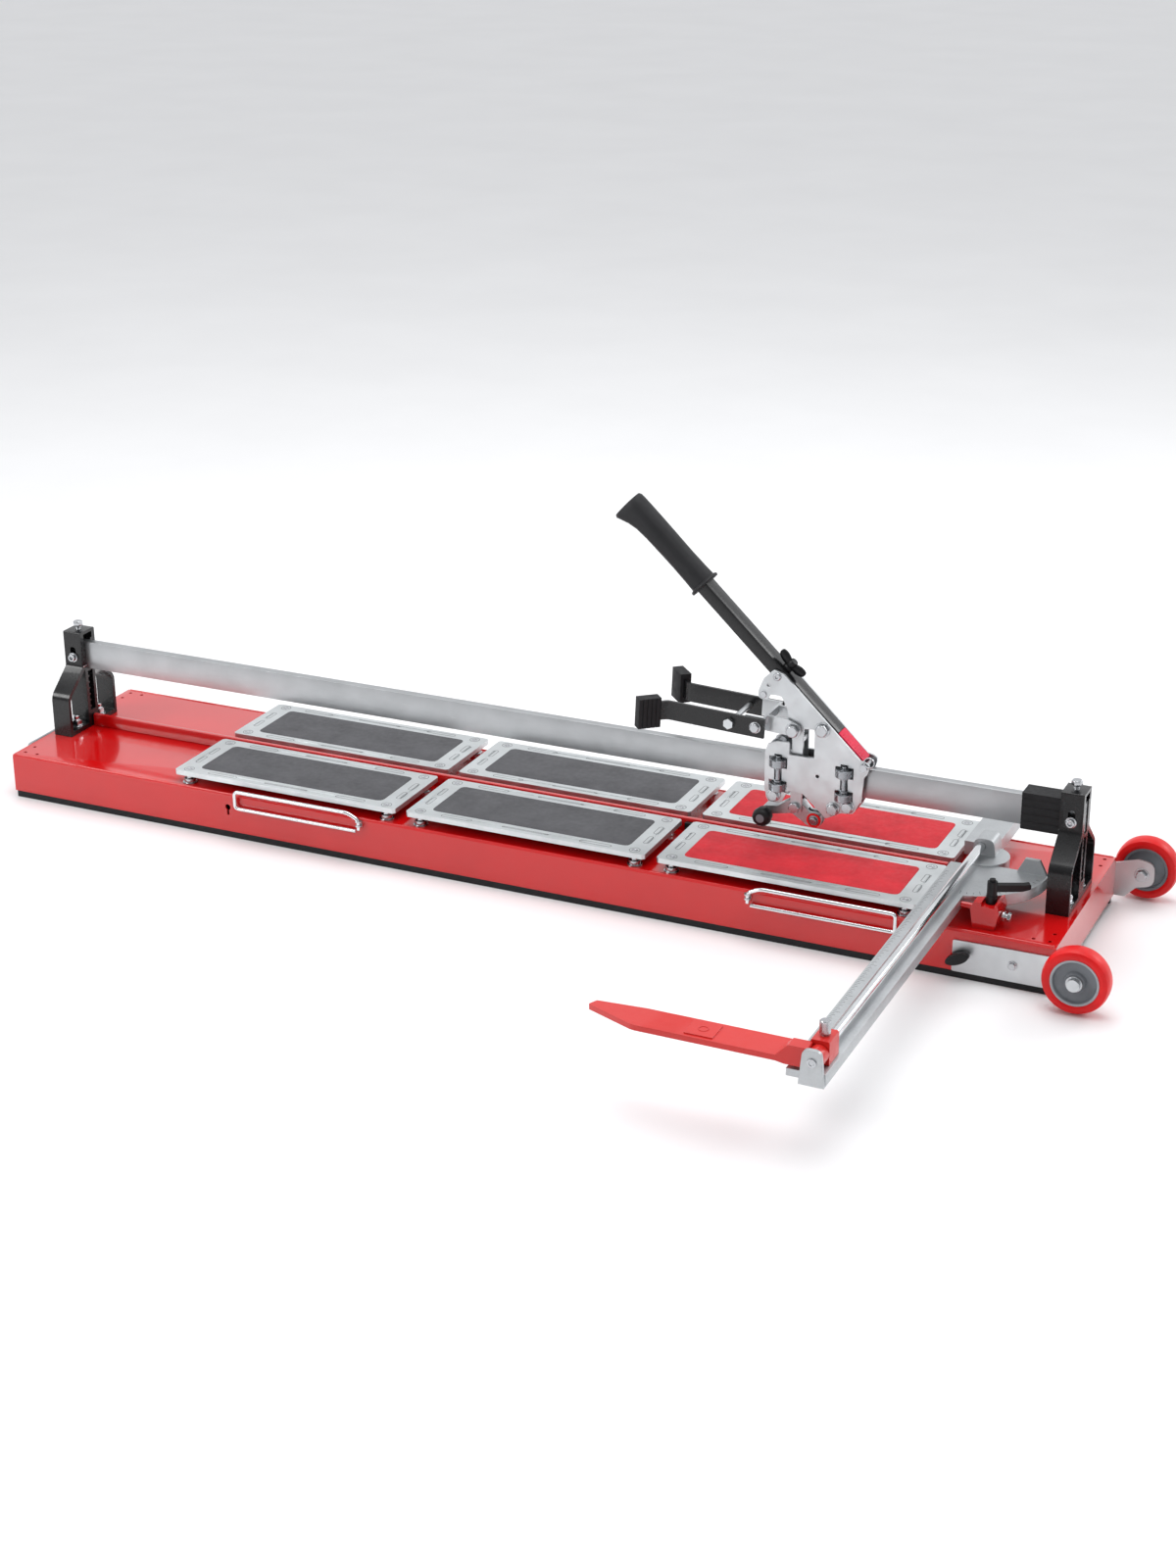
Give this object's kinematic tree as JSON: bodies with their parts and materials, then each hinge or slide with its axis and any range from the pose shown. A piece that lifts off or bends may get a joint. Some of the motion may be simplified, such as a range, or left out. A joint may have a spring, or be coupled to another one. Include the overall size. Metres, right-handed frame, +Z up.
{
  "type": "tile cutter",
  "caption": "Long manual tile cutter: spring-table bed, guide rail with lever scoring carriage and breaker, swivelling side fence with sliding stop, transport wheels.",
  "frame": {"origin": "centre of the bed in plan, on the surface that it stands on", "axes": "+X along the rail towards the transport wheels, +Y to the rear of the bed, +Z up"},
  "size_m": [1.917, 0.9694, 0.6163],
  "materials": {
    "red_paint": "glossy powder coat",
    "black_paint": "satin powder coat",
    "black_plastic": "matte",
    "rubber": "matte",
    "rail_steel": "drawn, lightly brushed",
    "zinc": "bright zinc plate",
    "table_plate": "zinc plate",
    "chrome": "polished",
    "cast_aluminium": "fine cast, brushed on top",
    "red_tyre": "satin polyurethane",
    "grey_hub": "satin",
    "red_plastic": "satin"
  },
  "bodies": {
    "bed": {"bed_pan": "red_paint", "rubber_strip_front": "rubber", "rubber_strip_rear": "rubber", "rubber_strip_spine": "rubber", "spine_beam": "rail_steel", "breaking_ridge": "red_paint", "post_left": "black_paint", "post_right": "black_paint", "fence_pivot_post": "zinc", "fence_clamp_block": "red_paint", "wheel_bracket_front": "zinc", "wheel_bracket_rear": "zinc", "carry_handle": "rail_steel"},
    "rail": {"guide_rail": "rail_steel", "stop_sleeve": "rubber"},
    "carriage": {"carriage_plate_rear": "zinc", "carriage_plate_front": "zinc", "lever_pivot_bolt": "zinc", "breaker_pivot_bolt": "zinc", "stirrup": "zinc", "lock_ring_pin": "zinc"},
    "lever": {"lever_tube": "black_paint", "lever_grip": "rubber", "lever_end_cap": "red_plastic"},
    "wing_knob": {"lever_wing_knob": "black_plastic"},
    "breaker": {"breaker_bracket": "zinc", "breaker_arm_front": "black_paint", "breaker_arm_rear": "black_paint", "breaker_pad_front": "rubber", "breaker_pad_rear": "rubber", "breaker_cross_pin": "zinc"},
    "rocker": {"scoring_rocker": "cast_aluminium"},
    "score_wheel": {"scoring_wheel": "zinc"},
    "rocker_knob": {"rocker_knob": "black_plastic"},
    "fence": {"fence_casting": "cast_aluminium", "fence_rod": "chrome", "fence_end_plate": "cast_aluminium"},
    "clamp_lever": {"fence_clamp_lever": "black_plastic"},
    "slider": {"stop_slider": "red_paint"},
    "slider_screw": {"slider_screw": "zinc"},
    "stop_arm": {"stop_arm": "red_paint"},
    "wheel_front": {"wheel_tyre_front": "red_tyre", "wheel_hub_front": "grey_hub"},
    "wheel_rear": {"wheel_tyre_rear": "red_tyre", "wheel_hub_rear": "grey_hub"},
    "support_left": {"support_wire_left": "chrome"},
    "support_right": {"support_wire_right": "chrome"},
    "roller_left": {"lower_roller_left": "zinc"},
    "roller_right": {"lower_roller_right": "zinc"},
    "table_front_left": {"table_front_left": "table_plate"},
    "table_front_middle": {"table_front_middle": "table_plate"},
    "table_front_right": {"table_front_right": "table_plate"},
    "table_rear_left": {"table_rear_left": "table_plate"},
    "table_rear_middle": {"table_rear_middle": "table_plate"},
    "table_rear_right": {"table_rear_right": "table_plate"},
    "side_bearing_front_left": {"side_bearing_front_left": "zinc"},
    "side_bearing_front_right": {"side_bearing_front_right": "zinc"},
    "side_bearing_rear_left": {"side_bearing_rear_left": "zinc"},
    "side_bearing_rear_right": {"side_bearing_rear_right": "zinc"}
  },
  "joints": [
    {"name": "rail_lift", "type": "slide", "parent": "bed", "child": "rail", "axis": [0, 0, 1], "range_m": [0, 0.012]},
    {"name": "carriage_slide", "type": "slide", "parent": "rail", "child": "carriage", "axis": [1, 0, 0], "range_m": [-1.205, 0.23]},
    {"name": "roller_left_spin", "type": "hinge", "parent": "carriage", "child": "roller_left", "pos_m": [0.415, 0, 0.1707], "axis": [0, 1, 0], "continuous": true},
    {"name": "roller_right_spin", "type": "hinge", "parent": "carriage", "child": "roller_right", "pos_m": [0.5345, 0, 0.1707], "axis": [0, 1, 0], "continuous": true},
    {"name": "bearing_front_left_spin", "type": "hinge", "parent": "carriage", "child": "side_bearing_front_left", "pos_m": [0.421, -0.0208, 0.206], "axis": [0, 0, 1], "continuous": true},
    {"name": "bearing_front_right_spin", "type": "hinge", "parent": "carriage", "child": "side_bearing_front_right", "pos_m": [0.5275, -0.0208, 0.206], "axis": [0, 0, 1], "continuous": true},
    {"name": "bearing_rear_left_spin", "type": "hinge", "parent": "carriage", "child": "side_bearing_rear_left", "pos_m": [0.421, 0.0208, 0.206], "axis": [0, 0, 1], "continuous": true},
    {"name": "bearing_rear_right_spin", "type": "hinge", "parent": "carriage", "child": "side_bearing_rear_right", "pos_m": [0.5275, 0.0208, 0.206], "axis": [0, 0, 1], "continuous": true},
    {"name": "table_front_left_spring", "type": "slide", "parent": "bed", "child": "table_front_left", "axis": [0, 0, 1], "range_m": [-0.006, 0], "stiffness_N_per_m": 3000, "springref_m": 0.006},
    {"name": "table_front_middle_spring", "type": "slide", "parent": "bed", "child": "table_front_middle", "axis": [0, 0, 1], "range_m": [-0.006, 0], "stiffness_N_per_m": 3000, "springref_m": 0.006},
    {"name": "table_front_right_spring", "type": "slide", "parent": "bed", "child": "table_front_right", "axis": [0, 0, 1], "range_m": [-0.006, 0], "stiffness_N_per_m": 3000, "springref_m": 0.006},
    {"name": "table_rear_left_spring", "type": "slide", "parent": "bed", "child": "table_rear_left", "axis": [0, 0, 1], "range_m": [-0.006, 0], "stiffness_N_per_m": 3000, "springref_m": 0.006},
    {"name": "table_rear_middle_spring", "type": "slide", "parent": "bed", "child": "table_rear_middle", "axis": [0, 0, 1], "range_m": [-0.006, 0], "stiffness_N_per_m": 3000, "springref_m": 0.006},
    {"name": "table_rear_right_spring", "type": "slide", "parent": "bed", "child": "table_rear_right", "axis": [0, 0, 1], "range_m": [-0.006, 0], "stiffness_N_per_m": 3000, "springref_m": 0.006},
    {"name": "lever_swing", "type": "hinge", "parent": "carriage", "child": "lever", "pos_m": [0.4905, 0, 0.2885], "axis": [0, 1, 0], "range_deg": [-21.5, 0]},
    {"name": "wing_knob_turn", "type": "hinge", "parent": "lever", "child": "wing_knob", "pos_m": [0.41421, 0, 0.36065], "axis": [0.6871, 0, 0.7266], "range_deg": [-25, 25]},
    {"name": "breaker_swing", "type": "hinge", "parent": "carriage", "child": "breaker", "pos_m": [0.4455, 0, 0.2825], "axis": [0, 1, 0], "range_deg": [-28, 0]},
    {"name": "rocker_tilt", "type": "hinge", "parent": "carriage", "child": "rocker", "pos_m": [0.447, 0, 0.152], "axis": [0, 1, 0], "range_deg": [0, 14]},
    {"name": "scoring_wheel_spin", "type": "hinge", "parent": "rocker", "child": "score_wheel", "pos_m": [0.4775, 0, 0.1345], "axis": [0, 1, 0], "continuous": true},
    {"name": "rocker_knob_turn", "type": "hinge", "parent": "rocker", "child": "rocker_knob", "pos_m": [0.402, 0, 0.137], "axis": [0, 1, 0], "continuous": true},
    {"name": "fence_swing", "type": "hinge", "parent": "bed", "child": "fence", "pos_m": [0.735, -0.028, 0.11], "axis": [0, 0, 1], "range_deg": [-45, 0]},
    {"name": "clamp_lever_turn", "type": "hinge", "parent": "bed", "child": "clamp_lever", "pos_m": [0.798, -0.139, 0.13], "axis": [0, 0, 1], "range_deg": [-50, 40]},
    {"name": "slider_slide", "type": "slide", "parent": "fence", "child": "slider", "axis": [0, 1, 0], "range_m": [0, 0.6]},
    {"name": "slider_screw_turn", "type": "hinge", "parent": "slider", "child": "slider_screw", "pos_m": [0.74, -0.687, 0.16], "axis": [0, 0, 1], "range_deg": [-180, 180]},
    {"name": "stop_arm_fold", "type": "hinge", "parent": "slider", "child": "stop_arm", "pos_m": [0.74, -0.7, 0.1343], "axis": [0, 1, 0], "range_deg": [0, 80]},
    {"name": "wheel_front_spin", "type": "hinge", "parent": "bed", "child": "wheel_front", "pos_m": [0.94675, -0.2104, 0.052], "axis": [0, 1, 0], "continuous": true},
    {"name": "wheel_rear_spin", "type": "hinge", "parent": "bed", "child": "wheel_rear", "pos_m": [0.94675, 0.2104, 0.052], "axis": [0, 1, 0], "continuous": true},
    {"name": "support_left_swing", "type": "hinge", "parent": "bed", "child": "support_left", "pos_m": [-0.229, -0.181, 0.07], "axis": [0, 0, 1], "range_deg": [0, 90]},
    {"name": "support_right_swing", "type": "hinge", "parent": "bed", "child": "support_right", "pos_m": [0.437, -0.181, 0.07], "axis": [0, 0, 1], "range_deg": [-90, 0]}
  ],
  "couplings": [
    {"joint": "roller_left_spin", "follows": "carriage_slide", "rad_per_m": -76.923},
    {"joint": "roller_right_spin", "follows": "carriage_slide", "rad_per_m": -76.923},
    {"joint": "bearing_front_left_spin", "follows": "carriage_slide", "rad_per_m": 76.923},
    {"joint": "bearing_front_right_spin", "follows": "carriage_slide", "rad_per_m": 76.923},
    {"joint": "bearing_rear_left_spin", "follows": "carriage_slide", "rad_per_m": -76.923},
    {"joint": "bearing_rear_right_spin", "follows": "carriage_slide", "rad_per_m": -76.923},
    {"joint": "rocker_tilt", "follows": "lever_swing", "ratio": -0.65}
  ]
}
